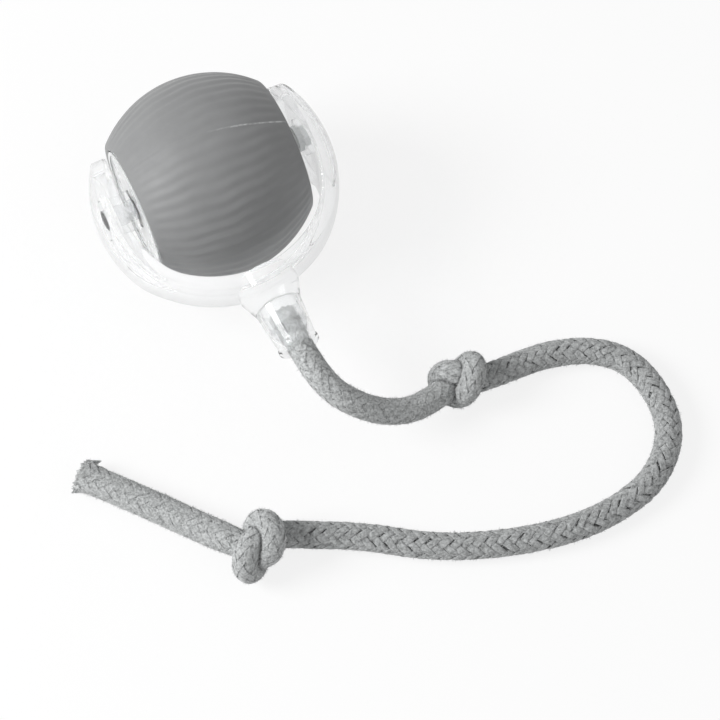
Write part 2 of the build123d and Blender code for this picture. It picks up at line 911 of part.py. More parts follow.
def neck():
    stem = turned_along_y(
        [
            (0, neck_root),
            (neck_base_radius, neck_root),
            (neck_base_radius, neck_base_end),
            (neck_top_radius, neck_end),
            (neck_spigot_radius, neck_end),
            (neck_spigot_radius, neck_spigot_end),
            (0, neck_spigot_end),
        ]
    )
    for index in range(thread_count):
        middle = neck_end + thread_pitch * (index + 1)
        stem += thread_ring(middle)
    bore_floor = rope_start - rope_end_gap
    bore = [(0, bore_floor), (rope_hole_radius, bore_floor)]
    bore += [(rope_hole_radius, neck_spigot_end + overrun), (0, neck_spigot_end + overrun)]
    return stem - turned_along_y(bore)


def thread_ring(middle):
    """One raised ring of the neck's thread."""
    root = neck_spigot_radius - thread_height
    crest = neck_spigot_radius + thread_height
    return turned_along_y(
        [
            (root, middle - thread_width),
            (crest, middle - thread_width / 2),
            (crest, middle + thread_width / 2),
            (root, middle + thread_width),
        ]
    )


def rope_collar():
    seam = neck_end + seam_gap
    rim_start = collar_end_reach - collar_rim_width
    outer = turned_along_y(
        [
            (0, seam),
            (collar_seam_radius, seam),
            (collar_end_radius, rim_start - collar_rim_flare),
            (collar_rim_radius, rim_start),
            (collar_rim_radius, collar_end_reach),
            (0, collar_end_reach),
        ]
    )
    outer = fillet(outer.edges().filter_by(GeomType.CIRCLE), collar_edge_round)
    return outer - turned_along_y(collar_bore_outline())


def collar_bore_outline():
    seam = neck_end + seam_gap
    return [
        (0, seam - overrun),
        (collar_bore_radius, seam - overrun),
        (collar_bore_radius, collar_cone_start),
        (rope_hole_radius, collar_cone_end),
        (rope_hole_radius, collar_end_reach + overrun),
        (0, collar_end_reach + overrun),
    ]


def rope_collet():
    """Split cone that the collar squeezes on the rope."""
    inner = rope_lead_radius + snug_gap
    wide = collar_bore_radius - collet_clearance
    narrow = rope_hole_radius - collet_clearance
    cone = turned_along_y(
        [
            (inner, collar_cone_start),
            (wide, collar_cone_start),
            (narrow, collar_cone_end),
            (inner, collar_cone_end),
        ]
    )
    half = collet_slot_width / 2
    for index in range(collet_slots):
        slot = block((0, collar_bore_radius), (-collar_cone_end + collet_slot_width, 0), (-half, half))
        cone -= Rot(0, 360 * index / collet_slots, 0) * slot
    return cone


def bend_radii(points):
    """Each corner's arc, as large as the two runs beside it allow."""
    radii = []
    for before, corner, after in zip(points, points[1:], points[2:]):
        run_in = Vector(*corner) - Vector(*before)
        run_out = Vector(*after) - Vector(*corner)
        half_turn = math.radians(run_in.get_angle(run_out)) / 2
        radii.append(bend_share * min(run_in.length, run_out.length) / math.tan(half_turn))
    return radii


def swept(path, radius):
    return sweep(Plane(origin=path @ 0, z_dir=path % 0) * Circle(radius), path=path)


def rope_stretch(name, points, diameter):
    radii = bend_radii(points)
    path = FilletPolyline(*points, radius=radii)
    body = swept(path, diameter / 2)
    expected = math.pi * diameter ** 2 / 4 * path.length
    print(name, "bend radii", [round(r, 1) for r in radii])
    print(name, "length", round(path.length, 1), "volume share", round(body.volume / expected, 4))
    return body


def knot(centre, sizes, along, bulges, stretches):
    """Tight overhand knot: two slanted wraps round a core, and bulges where the rope turns back."""
    major, minor, offset, tilt = sizes
    frame = Plane(origin=centre, z_dir=along)
    body = frame * Sphere(major + minor * knot_core_share - minor / 2)
    for side in (-1, 1):
        wrap = Pos(0, 0, side * offset) * Rot(side * tilt, 0, 0)
        body += frame * (wrap * Torus(major, minor))
    for radius, reach, turn, rise in bulges:
        body += Pos(*centre) * Rot(0, 0, turn) * Pos(reach, 0, rise) * Sphere(radius)
    for stretch in stretches:
        body -= stretch
    return body


in_ball_frame = {
    "tread_sleeve": tread_sleeve,
    "left_shell": left_shell,
    "right_shell": right_shell,
    "shell_gasket": shell_gasket,
    "shell_screws": shell_screws,
    "screw_plugs": screw_plugs,
    "pivot_pin": pivot_pin,
    "pivot_washer": pivot_washer,
    "output_shaft": output_shaft,
    "drive_hub": drive_hub,
    "output_gear": output_gear,
    "first_reduction_gear": first_reduction_gear,
    "second_reduction_gear": second_reduction_gear,
    "idler_pin": idler_pin,
    "gearbox_frame": gearbox_frame,
    "gearbox_cover": gearbox_cover,
    "gearbox_screws": gearbox_screws,
    "motor_can": motor_can,
    "motor_end_cap": motor_end_cap,
    "motor_magnets": motor_magnets,
    "motor_shaft": motor_shaft,
    "motor_armature": motor_armature,
    "motor_pinion": motor_pinion,
    "motor_screws": motor_screws,
    "motor_leads": motor_leads,
    "battery_cell": battery_cell,
    "battery_pad": battery_pad,
    "battery_leads": battery_leads,
    "circuit_board": circuit_board,
    "control_chip": control_chip,
    "status_leds": status_leds,
    "vibration_sensor": vibration_sensor,
    "usb_socket": usb_socket,
    "port_cover": port_cover,
    "port_anchor": port_anchor,
    "power_button": power_button,
    "tact_switch": tact_switch,
    "switch_plunger": switch_plunger,
    "yoke": yoke,
    "rope_collar": rope_collar,
    "rope_collet": rope_collet,
}


def save(name, shape):
    export_step(shape, "parts/" + name + ".step")


def main():
    os.makedirs("parts", exist_ok=True)
    lift = Pos(0, 0, ball_radius)
    for name, build in in_ball_frame.items():
        save(name, lift * build())
    pivot_bush = flanged_bush(-1, pivot_bush_radius, pivot_bush_length, pivot_radius + running_gap)
    drive_bush = flanged_bush(1, drive_bush_radius, drive_bush_length, drive_hub_radius + running_gap)
    save("pivot_bush", lift * pivot_bush)
    save("drive_bush", lift * drive_bush)
    lead = rope_stretch("rope_lead", lead_route, rope_lead_diameter)
    loop = rope_stretch("rope_loop", loop_route, rope_diameter)
    tail = rope_stretch("rope_tail", tail_route, rope_tail_diameter)
    save("rope_lead", lead)
    save("rope_loop", loop)
    save("rope_tail", tail)
    near_line = Vector(*loop_route[0]) - Vector(*lead_route[-1])
    far_line = Vector(*tail_route[0]) - Vector(*loop_route[-1])
    near_sizes = (near_knot_major, near_knot_minor, near_wrap_offset, near_wrap_tilt)
    far_sizes = (far_knot_major, far_knot_minor, far_wrap_offset, far_wrap_tilt)
    save("rope_knot_near", knot(near_knot_centre, near_sizes, near_line, near_bulges, (lead, loop)))
    save("rope_knot_far", knot(far_knot_centre, far_sizes, far_line, far_bulges, (loop, tail)))


main()
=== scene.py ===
import json
import math

import bpy
import numpy as np
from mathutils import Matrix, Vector


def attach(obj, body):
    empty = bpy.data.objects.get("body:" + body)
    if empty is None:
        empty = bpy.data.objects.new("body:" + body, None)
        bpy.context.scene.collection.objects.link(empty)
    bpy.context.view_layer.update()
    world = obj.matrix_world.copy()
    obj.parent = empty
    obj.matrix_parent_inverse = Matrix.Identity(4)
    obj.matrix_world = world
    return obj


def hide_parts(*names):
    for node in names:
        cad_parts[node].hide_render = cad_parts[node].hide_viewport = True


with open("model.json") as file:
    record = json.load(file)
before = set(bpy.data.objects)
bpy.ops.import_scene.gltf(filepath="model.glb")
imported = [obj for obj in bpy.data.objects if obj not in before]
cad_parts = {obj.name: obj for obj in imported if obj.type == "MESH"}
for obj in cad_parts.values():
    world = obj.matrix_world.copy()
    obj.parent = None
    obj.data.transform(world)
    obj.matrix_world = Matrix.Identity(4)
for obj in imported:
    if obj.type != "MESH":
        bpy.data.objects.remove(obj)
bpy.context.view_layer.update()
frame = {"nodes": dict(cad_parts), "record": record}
nodes = frame["nodes"]
mm = 0.001
rng = np.random.default_rng(7)

# Sizes shared with the solids, in millimetres
ball_radius = 30.0
sleeve_half = 24.0
sleeve_rim_drop = 9.75
sleeve_wall = 2.0
lip_thickness = 1.9
lip_round = 0.5
opening_radius = 18.2
rim_round = 0.9
rope_start = 49.5
lead_diameter = 7.6
loop_diameter = 8.0
tail_diameter = 8.6

# The rope's route, in millimetres along its centre
route_resolution = 20
route_order = 3
lead_route = [
    (0, -rope_start, 30),
    (0, -62.3, 30),
    (2.2, -74.9, 27),
    (8.2, -81.1, 22.1),
    (15.2, -84.6, 16.6),
    (25.4, -86.3, 11.9),
    (35.3, -83.2, 9),
]
loop_route = [
    (46.8, -84.1, 7),
    (57.1, -84, 5),
    (68.4, -84.6, 4.3),
    (80.8, -88.9, 4.1),
    (89.2, -97.1, 4.1),
    (91.7, -109.4, 4.1),
    (89.2, -122.6, 4.1),
    (78.6, -132.6, 4.1),
    (65, -136.2, 4.1),
    (48.7, -136, 4.1),
    (29.8, -131.1, 4.1),
    (11.4, -123.2, 4.1),
    (-5, -111.2, 4.3),
    (-18.2, -104.6, 5.2),
    (-26.6, -100.8, 7),
]
tail_route = [
    (-38.4, -97.9, 7.3),
    (-44.4, -89.8, 5.2),
    (-52.2, -79.4, 4.4),
    (-60.8, -68.8, 4.4),
    (-69.1, -58.8, 4.4),
]

# Knots: lengths in millimetres, roll in degrees, the rest as shares or counts
near_knot = {
    "thickness": 4.7,
    "width": 7.0,
    "roll": 268,
    "hand": -1,
    "flat": 0.86,
    "move": (-1.4, -0.4),
}
far_knot = {
    "thickness": 5.0,
    "width": 7.4,
    "roll": 228,
    "hand": 1,
    "flat": 0.94,
    "move": (0.4, 2.2),
}
knot_points = 80
knot_rounds = 280
knot_samples = 400
knot_reach = 2.05
knot_across = 0.62
knot_above = 0.45
knot_forward = 0.11
knot_end_step = 0.25
knot_pull = 0.35
knot_push = 1.2
knot_skip = 1.45
knot_ease = 0.15

# Braid: lengths in millimetres, relief as a share of full strand depth
strands_each_way = 8
braid_pitch = 26.5
rope_step = 0.6
strand_sides = 10
strand_squareness = 0.5
strand_half_width = 1.05
strand_half_thickness = 0.42
braid_wave = 0.32
braid_wave_power = 0.7
strand_sways = ((0.07, 1.9, 2.1), (0.07, 4.3, 4.7))
strand_swells = ((0.09, 2.7, 3.3), (0.06, 1.3, 1.0))
hand_shift = 11
core_sides = 20
core_depth = 1.6
radius_easing = 60
relief_easing = 120
relief = {
    "rope_lead": 0.2,
    "rope_knot_near": 0.38,
    "rope_loop": 0.95,
    "rope_knot_far": 0.3,
    "rope_tail": 0.36,
}
felting = {
    "rope_lead": 0.9,
    "rope_knot_near": 0.65,
    "rope_loop": 0.3,
    "rope_knot_far": 0.75,
    "rope_tail": 0.8,
}
strand_noise = 0.045
strand_uv_step = 3.7
# Painted shade in the creases where the rope touches itself: the stretch skipped along the rope,
# the width, and the depth the shade counts as, in millimetres
crease_skip = 9.0
crease_width = 1.3
crease_shade_depth = 0.52
flare_length = 7.0
flare_share = 0.14

# Fluff: fibres for each millimetre of rope, and lengths in millimetres
hair_counts = {
    "rope_lead": 80,
    "rope_knot_near": 110,
    "rope_loop": 66,
    "rope_knot_far": 125,
    "rope_tail": 150,
}
hair_length = 0.8
hair_length_range = (0.4, 1.3)
hair_width = 0.1
hair_root = 0.25
hair_lift = 0.45
hair_scatter = 0.35
hair_lay = 1.0
hair_bend = 0.18
hair_uv_step = 0.37
fray_count = 900
fray_length = 2.2
fray_length_range = (0.5, 1.0)
fray_width = 0.2
fray_fill = 0.97
fray_root = 0.4
fray_spread = 0.35
fray_scatter = 0.35
fray_round = 0.6
fray_bend = 0.1
tuft_count = 70
tuft_root_scatter = 0.45
tuft_tip_scatter = 0.16
tufts = [((4.5, -0.8), (6.2, -2.9)), ((-4.3, -0.6), (-5.9, 0.3))]

# Tread: lengths in millimetres, the parting line's turn in degrees
rib_count = 49
rib_depth = 0.22
rib_wave_length = 12.5
rib_wave_reach = 0.22
rib_samples = 14
rib_fade = 3.0
rib_drifts = ((0.5, 5, 7), (0.4, 3, -11))
rib_unevenness = (0.15, 9, 3)
outside_steps = 64
inside_steps = 24
rim_steps = 8
lip_steps = 5
parting_turn = 94.9
parting_slant = 0.29
parting_width = 0.16
parting_height = 0.1
parting_start = 0.0
parting_full = 12.0

# Camera, in millimetres, with its clip in metres
camera_place = (-98.3, -296.1, 594.1)
camera_target = (19.3, -60.1, 0)
camera_lens = 109.8
camera_sensor = 36
camera_clip = (0.01, 20)

# Studio: metres and watts, whiteness as the share of plain white that the camera sees
lamp_target = (0.01, -0.06, 0.0)
lamps = (
    ("key", (-0.75, 0.2, 0.65), 0.5, 9.5),
    ("fill", (0.5, -0.5, 0.8), 0.9, 0.8),
)
world_strength = 0.42
world_whiteness = 1.0
floor_half = 3.0
floor_level = -0.0001
floor_whiteness = 0.82

# The colour sockets of a Mix node, whose names repeat
mix_inputs = ("Factor_Float", "A_Color", "B_Color")
mix_output = "Result_Color"


def unit(vector):
    return vector / np.linalg.norm(vector)


def evenly(points, count):
    """The same line as equally spaced points."""
    steps = np.linalg.norm(np.diff(points, axis=0), axis=1)
    reach = np.concatenate(([0], np.cumsum(steps)))
    wanted = np.linspace(0, reach[-1], count)
    return np.stack([np.interp(wanted, reach, points[:, axis]) for axis in range(3)], axis=1)


def line_length(points):
    return float(np.linalg.norm(np.diff(points, axis=0), axis=1).sum())


def unit_rows(rows):
    return rows / np.maximum(np.linalg.norm(rows, axis=1), 1e-9)[:, None]


def smooth(share):
    """0 to 1 with a soft start and a soft end."""
    return share * share * (3 - 2 * share)


# Materials


class Shade:
    """A Principled material and short ways to add procedural detail to it."""

    def __init__(self, name, colour, roughness, metallic=0.0):
        self.material = bpy.data.materials.new(name)
        self.material.use_nodes = True
        self.tree = self.material.node_tree
        self.shader = self.tree.nodes["Principled BSDF"]
        self.set("Base Color", (*colour, 1))
        self.set("Roughness", roughness)
        self.set("Metallic", metallic)
        self.place = self.tree.nodes.new("ShaderNodeTexCoord")

    def set(self, socket, value):
        self.shader.inputs[socket].default_value = value

    def link(self, output, target):
        self.tree.links.new(output, target)

    def noise(self, scale, detail=4.0, roughness=0.55, stretch=None, source="Object"):
        texture = self.tree.nodes.new("ShaderNodeTexNoise")
        texture.inputs["Scale"].default_value = scale
        texture.inputs["Detail"].default_value = detail
        texture.inputs["Roughness"].default_value = roughness
        output = self.place.outputs[source]
        if stretch:
            mapping = self.tree.nodes.new("ShaderNodeMapping")
            mapping.inputs["Scale"].default_value = stretch
            self.link(output, mapping.inputs["Vector"])
            output = mapping.outputs["Vector"]
        self.link(output, texture.inputs["Vector"])
        return texture.outputs["Fac"]

    def ramp(self, factor, stops):
        ramp = self.tree.nodes.new("ShaderNodeValToRGB")
        elements = ramp.color_ramp.elements
        while len(elements) < len(stops):
            elements.new(0.5)
        for element, (position, colour) in zip(elements, stops):
            element.position = position
            element.color = (*colour, 1)
        self.link(factor, ramp.inputs["Fac"])
        return ramp.outputs["Color"]

    def paint(self, colour):
        self.link(colour, self.shader.inputs["Base Color"])

    def colour_from(self, factor, low, high, start=0.35, stop=0.65):
        self.paint(self.ramp(factor, [(start, low), (stop, high)]))

    def roughness_from(self, factor, low, high):
        spread = self.tree.nodes.new("ShaderNodeMapRange")
        spread.inputs["From Min"].default_value = 0.3
        spread.inputs["From Max"].default_value = 0.7
        spread.inputs["To Min"].default_value = low
        spread.inputs["To Max"].default_value = high
        self.link(factor, spread.inputs["Value"])
        self.link(spread.outputs["Result"], self.shader.inputs["Roughness"])

    def mixed(self, share, first, second):
        mix = self.tree.nodes.new("ShaderNodeMix")
        mix.data_type = "RGBA"
        sockets = {socket.identifier: socket for socket in mix.inputs}
        factor, one, two = (sockets[key] for key in mix_inputs)
        if isinstance(share, float):
            factor.default_value = share
        else:
            self.link(share, factor)
        self.link(first, one)
        self.link(second, two)
        return next(socket for socket in mix.outputs if socket.identifier == mix_output)

    def attribute(self, name):
        """A value that the mesh carries."""
        node = self.tree.nodes.new("ShaderNodeAttribute")
        node.attribute_name = name
        return node.outputs["Fac"]

    def bump(self, height, strength, distance):
        node = self.tree.nodes.new("ShaderNodeBump")
        node.inputs["Strength"].default_value = strength
        node.inputs["Distance"].default_value = distance
        self.link(height, node.inputs["Height"])
        earlier = self.shader.inputs["Normal"].links
        if earlier:
            self.link(earlier[0].from_socket, node.inputs["Normal"])
        self.link(node.outputs["Normal"], self.shader.inputs["Normal"])


def scaled(colour, share):
    return tuple(min(1.0, part * share) for part in colour)


def clear_shade(name, tint, roughness, ior=1.49, clearness=1.0):
    shade = Shade(name, tint, roughness)
    shade.set("Transmission Weight", clearness)
    shade.set("IOR", ior)
    shade.roughness_from(shade.noise(90), roughness * 0.6, roughness * 1.6)
    shade.bump(shade.noise(160, detail=2), 0.08, 0.0002)
    return shade


def clear_plastic(name="clear_plastic", clearness=0.88):
    tint = (0.98, 0.985, 0.988)
    shade = clear_shade(name, tint, 0.03, ior=1.06, clearness=clearness)
    # Painted shade: the tint darkens to 0.62 of itself where the surface turns away from the
    # camera, for the grey edges of the clear plastic
    edge_shade = shade.tree.nodes.new("ShaderNodeLayerWeight")
    edge_shade.inputs["Blend"].default_value = 0.5
    shade.colour_from(edge_shade.outputs["Facing"], tint, scaled(tint, 0.62), 0.55, 0.95)
    shade.set("Coat Weight", 0.5)
    shade.set("Coat Roughness", 0.03)
    return shade


def milky_plastic():
    shade = clear_shade("milky_plastic", (0.93, 0.945, 0.945), 0.25, ior=1.3, clearness=0.4)
    shade.set("Coat Weight", 0.4)
    shade.set("Coat Roughness", 0.15)
    return shade


def clear_silicone():
    return clear_shade("clear_silicone", (0.9, 0.92, 0.93), 0.3, ior=1.41)


def grey_silicone():
    grey = (0.222, 0.225, 0.227)
    shade = Shade("grey_silicone", grey, 0.62)
    plain = shade.ramp(shade.noise(55), [(0.35, scaled(grey, 0.93)), (0.65, scaled(grey, 1.07))])
    line = shade.ramp(shade.noise(500), [(0.4, scaled(grey, 1.6)), (0.6, scaled(grey, 3.2))])
    shade.paint(shade.mixed(shade.attribute("seam"), plain, line))
    shade.roughness_from(shade.noise(120), 0.56, 0.7)
    shade.bump(shade.noise(2600, detail=3), 0.25, 0.00004)
    shade.set("Sheen Weight", 0.15)
    shade.set("Sheen Roughness", 0.5)
    return shade


def grey_rope():
    """Yarns and fibres along each strand, felted where worn, with painted shade between the
    strands and in the creases where the rope touches itself.
    """
    grey = (0.4, 0.41, 0.41)
    shade = Shade("grey_rope", grey, 0.9)
    yarns = shade.noise(1, detail=2, roughness=0.5, stretch=(7, 0.8, 1), source="UV")
    fibres = shade.noise(1, detail=5, roughness=0.75, stretch=(18, 2.2, 1), source="UV")
    fuzz = shade.noise(1500, detail=3, roughness=0.7)

    def greys(factor, *stops):
        return shade.ramp(factor, [(place, scaled(grey, share)) for place, share in stops])

    plain = greys(yarns, (0.4, 0.2), (0.5, 0.8), (0.62, 1.4))
    fine = greys(fibres, (0.4, 0.25), (0.6, 1.4))
    felt = greys(fuzz, (0.34, 0.65), (0.5, 1.2), (0.66, 1.6))
    grain = greys(fuzz, (0.38, 0.25), (0.62, 1.45))
    # Painted shade: the dark grey put into the crevices between the strands and into the creases
    painted_shade_colour = greys(fuzz, (0.35, 0.1), (0.65, 0.35))
    braided = shade.mixed(0.4, shade.mixed(0.45, plain, fine), grain)
    worn = shade.mixed(shade.attribute("felt"), braided, felt)
    # Painted shade mask: darker where a point lies deeper under the rope's outside or near
    # another stretch of the rope
    painted_shade_mask = shade.ramp(shade.attribute("sunk"), [(0.22, (0, 0, 0)), (0.54, (1, 1, 1))])
    shade.paint(shade.mixed(painted_shade_mask, worn, painted_shade_colour))
    shade.bump(yarns, 0.9, 0.0003)
    shade.bump(fibres, 0.8, 0.00016)
    shade.bump(fuzz, 0.6, 0.00016)
    shade.set("Sheen Weight", 0.3)
    shade.set("Sheen Roughness", 0.6)
    shade.set("Specular IOR Level", 0.15)
    return shade


def moulded(name, colour, roughness):
    shade = Shade(name, colour, roughness)
    shade.colour_from(shade.noise(140), scaled(colour, 0.94), scaled(colour, 1.06))
    shade.roughness_from(shade.noise(300), roughness * 0.85, roughness * 1.2)
    shade.bump(shade.noise(2200, detail=2), 0.15, 0.00003)
    return shade


def metal(name, colour, roughness, stretch):
    shade = Shade(name, colour, roughness, metallic=1.0)
    lines = shade.noise(900, detail=3, stretch=stretch)
    shade.roughness_from(lines, roughness * 0.7, roughness * 1.4)
    shade.bump(lines, 0.12, 0.00002)
    return shade


def frosted_plastic():
    shade = moulded("frosted_plastic", (0.75, 0.77, 0.78), 0.4)
    shade.set("Transmission Weight", 0.35)
    return shade


def copper_winding():
    shade = metal("copper_winding", (0.6, 0.3, 0.15), 0.35, (6, 1, 1))
    wire = shade.noise(2400, detail=1, stretch=(8, 1, 1))
    shade.bump(wire, 0.5, 0.0001)
    return shade


def cell_foil():
    shade = metal("cell_foil", (0.6, 0.61, 0.63), 0.34, (1, 1, 1))
    shade.bump(shade.noise(220, detail=2), 0.3, 0.0002)
    return shade


def black_foam():
    shade = moulded("black_foam", (0.04, 0.04, 0.04), 0.95)
    shade.bump(shade.noise(3000, detail=2), 0.8, 0.0002)
    return shade


def board_green():
    shade = moulded("board_green", (0.03, 0.16, 0.08), 0.35)
    traces = shade.noise(260, detail=0)
    shade.paint(shade.ramp(traces, [(0.47, (0.025, 0.13, 0.065)), (0.5, (0.05, 0.24, 0.12))]))
    return shade


def led_white():
    shade = moulded("led_white", (0.85, 0.85, 0.7), 0.2)
    shade.set("Transmission Weight", 0.3)
    return shade


shades = {
    "clear_plastic": clear_plastic(),
    "milky_plastic": milky_plastic(),
    "clear_silicone": clear_silicone(),
    "grey_silicone": grey_silicone(),
    "grey_rope": grey_rope(),
    "grey_plastic": moulded("grey_plastic", (0.4, 0.4, 0.39), 0.38),
    "black_plastic": moulded("black_plastic", (0.03, 0.03, 0.03), 0.38),
    "white_plastic": moulded("white_plastic", (0.8, 0.8, 0.78), 0.4),
    "frosted_plastic": frosted_plastic(),
    "bright_steel": metal("bright_steel", (0.62, 0.62, 0.64), 0.22, (1, 12, 12)),
    "screw_steel": metal("screw_steel", (0.5, 0.5, 0.52), 0.3, (1, 8, 8)),
    "motor_steel": metal("motor_steel", (0.45, 0.45, 0.47), 0.32, (8, 1, 1)),
    "ferrite": moulded("ferrite", (0.05, 0.05, 0.055), 0.7),
    "copper_winding": copper_winding(),
    "cell_foil": cell_foil(),
    "black_foam": black_foam(),
    "board_green": board_green(),
    "chip_black": moulded("chip_black", (0.02, 0.02, 0.02), 0.55),
    "led_white": led_white(),
    "switch_metal": metal("switch_metal", (0.6, 0.6, 0.6), 0.28, (1, 1, 6)),
    "wire_jacket": moulded("wire_jacket", (0.5, 0.03, 0.03), 0.45),
}

# Nodes that show better in their own shade of their slot's material
own_shades = {
    "rope_collet": clear_plastic("collet_plastic", 0.97),
    "rope_collar": clear_plastic("collar_plastic", 0.93),
    "drive_hub": moulded("pale_hub_plastic", (0.78, 0.79, 0.79), 0.38),
    # The pin's steel is paler than the slot's, like bright nickel, and partly painted light that
    # lifts the pin where it lies in shade inside the clear ear
    "pivot_pin": metal("pale_steel", (0.88, 0.88, 0.89), 0.25, (1, 12, 12)),
}


def dress_cad_nodes():
    """Every CAD node gets the finish of its material slot, or its own shade of it."""
    for part in frame["record"]["subparts"]:
        piece = nodes[part["node"]]
        material = own_shades.get(part["node"], shades[part["material_slot"]]).material
        piece.data.materials.clear()
        piece.data.materials.append(material)


def placed(name, data):
    """A new object in the scene."""
    piece = bpy.data.objects.new(name, data)
    bpy.context.scene.collection.objects.link(piece)
    return piece


def add_piece(name, mesh, slot, body, replaced):
    """A visible piece that stands for a CAD node."""
    piece = placed(name, mesh)
    mesh.materials.append(shades[slot].material)
    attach(piece, body)
    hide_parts(replaced)
    return piece


def cells(index):
    """The four-cornered faces between the neighbours of a grid of point numbers."""
    corners = [index[:-1, :-1], index[:-1, 1:], index[1:, 1:], index[1:, :-1]]
    return np.stack(corners, axis=-1).reshape(-1, 4).tolist()


def smooth_mesh(name, points, faces):
    """Mesh with smooth faces from points in metres."""
    mesh = bpy.data.meshes.new(name)
    mesh.from_pydata(points.tolist(), [], faces)
    mesh.polygons.foreach_set("use_smooth", [True] * len(mesh.polygons))
    mesh.update()
    return mesh


def set_values(mesh, key, values):
    """A value for each point, for the materials."""
    mesh.attributes.new(key, "FLOAT", "POINT").data.foreach_set("value", values)


def ring_mesh(name, rows):
    """Mesh from a grid of points in millimetres, closed both ways like a tyre."""
    height, width = rows.shape[:2]
    index = np.arange(height * width).reshape(height, width)
    index = np.hstack([index, index[:, :1]])
    index = np.vstack([index, index[:1]])
    return smooth_mesh(name, rows.reshape(-1, 3) * mm, cells(index))


# Tread sleeve


def sleeve_profile():
    """Closed section of the sleeve as (along the axle, radius, share of rib) points."""
    arc = (sleeve_half ** 2 + sleeve_rim_drop ** 2) / (2 * sleeve_rim_drop)
    centre = ball_radius - arc
    round_x = sleeve_half - rim_round
    round_r = centre + math.sqrt((arc - rim_round) ** 2 - round_x ** 2)
    first = math.atan2(round_x, round_r - centre)
    edge_x = round_x + rim_round * math.sin(first)
    right = []
    for x in np.linspace(0, edge_x, outside_steps)[:-1]:
        rib = smooth(min(1.0, (edge_x - x) / rib_fade))
        right.append((x, centre + math.sqrt(arc ** 2 - x ** 2), rib))
    for turn in np.linspace(first, math.pi / 2, rim_steps):
        x = round_x + rim_round * math.sin(turn)
        right.append((x, round_r + rim_round * math.cos(turn), 0))
    for turn in np.linspace(0, math.pi / 2, lip_steps):
        x = sleeve_half - lip_round + lip_round * math.cos(turn)
        right.append((x, opening_radius + lip_round - lip_round * math.sin(turn), 0))
    inner_x = sleeve_half - lip_thickness
    for turn in np.linspace(0, math.pi / 2, lip_steps):
        x = inner_x + lip_round - lip_round * math.sin(turn)
        right.append((x, opening_radius + lip_round - lip_round * math.cos(turn), 0))
    inner_arc = arc - sleeve_wall
    for x in np.linspace(inner_x, 0, inside_steps):
        right.append((x, centre + math.sqrt(inner_arc ** 2 - x ** 2), 0))
    left = [(-x, r, rib) for x, r, rib in right[-2:0:-1]]
    return np.array(right + left)


def make_tread():
    """The sleeve with wavy ribs round it and the mould's parting line along it."""
    profile = sleeve_profile()
    turns = np.linspace(0, 2 * math.pi, rib_count * rib_samples, endpoint=False)
    x, radius, rib = (profile[:, k][:, None] for k in range(3))
    sway = rib_wave_reach / ball_radius * np.sin(2 * math.pi * x / rib_wave_length)
    phase = rib_count * (turns + sway)
    for share, waves, length in rib_drifts:
        phase = phase + share * np.sin(turns * waves + x / length)
    share, waves, length = rib_unevenness
    strength = 1 - share + share * np.sin(turns * waves + x / length)
    depth = rib_depth * rib * (0.5 - 0.5 * np.cos(phase)) * strength
    away = np.degrees(turns) - parting_turn - parting_slant * x
    line = np.radians(np.abs((away + 180) % 360 - 180)) * radius
    outside = (rib > 0).astype(float)
    ridge = np.exp(-((line / parting_width) ** 2)) * outside
    reach = np.minimum(radius - depth + parting_height * ridge, ball_radius)
    y = reach * np.cos(turns)
    z = reach * np.sin(turns) + ball_radius
    mesh = ring_mesh("sleeve", np.stack([np.broadcast_to(x, y.shape), y, z], axis=-1))
    fade = np.clip((x - parting_start) / (parting_full - parting_start), 0, 1)
    set_values(mesh, "seam", (ridge * fade).ravel())
    add_piece("ribbed_tread", mesh, "grey_silicone", "ball", "tread_sleeve")


# Rope


def route_line(route):
    """The route's own NURBS line as points in millimetres."""
    data = bpy.data.curves.new("route", "CURVE")
    data.dimensions = "3D"
    data.resolution_u = route_resolution
    spline = data.splines.new("NURBS")
    spline.points.add(len(route) - 1)
    for point, place in zip(spline.points, route):
        point.co = (*(part * mm for part in place), 1)
    spline.order_u = route_order
    spline.use_endpoint_u = True
    holder = bpy.data.objects.new("route", data)
    line = bpy.data.meshes.new_from_object(holder)
    points = np.array([vertex.co[:] for vertex in line.vertices]) / mm
    bpy.data.objects.remove(holder)
    bpy.data.meshes.remove(line)
    bpy.data.curves.remove(data)
    return points


def overhand(before, after, thickness, width, roll, hand, flat, move):
    """Line of an overhand knot pulled tight between two ends of the rope, on the floor."""
    start, end = before[-1], after[0]
    way_in = unit(before[-1] - before[-3])
    way_out = unit(after[2] - after[0])
    along = unit(end - start)
    side = unit(np.cross(along, (0, 0, 1)))
    up = np.cross(side, along)
    cos, sin = math.cos(math.radians(roll)), math.sin(math.radians(roll))
    side, up = cos * side + sin * up, cos * up - sin * side
    t = np.linspace(-knot_reach, knot_reach, knot_samples)
    across = (t ** 3 - 3 * t) * knot_across * thickness * hand
    above = (t ** 4 - 4 * t ** 2 + 1.5) * knot_above * thickness
    forward = (t ** 5 - 10 * t) * knot_forward * thickness
    line = (start + end) / 2 + np.outer(forward, along) + np.outer(across, side)
    line += np.outer(above, up)
    points = evenly(np.vstack([[start], line, [end]]), knot_points)
    steps = np.arange(3)[:, None] * knot_end_step
    held_in = start + way_in * steps
    held_out = end - way_out * steps[::-1]
    for _ in range(knot_rounds):
        middle = (points[:-2] + points[2:]) / 2
        points[1:-1] += knot_pull * (middle - points[1:-1])
        for _ in range(2):
            points = pushed_apart(points, thickness)
            points[:, 2] = np.maximum(points[:, 2], width / 2)
            points[:3] = held_in
            points[-3:] = held_out
        points = evenly(points, knot_points)
    return settled(points, flat, move)


def settled(points, flat, move):
    """The knot pressed flatter sideways and moved a little, with its two ends in place."""
    level = (points[-1] - points[0]) * (1, 1, 0)
    along = unit(level)
    across = np.cross((0, 0, 1), along)
    sideways = (points - points[0]) @ across
    share = np.linspace(0, 1, len(points))
    ease = smooth(np.clip(np.minimum(share, 1 - share) / knot_ease, 0, 1))[:, None]
    points = points - np.outer(sideways * (1 - flat), across) * ease
    return points + (along * move[0] + across * move[1]) * ease


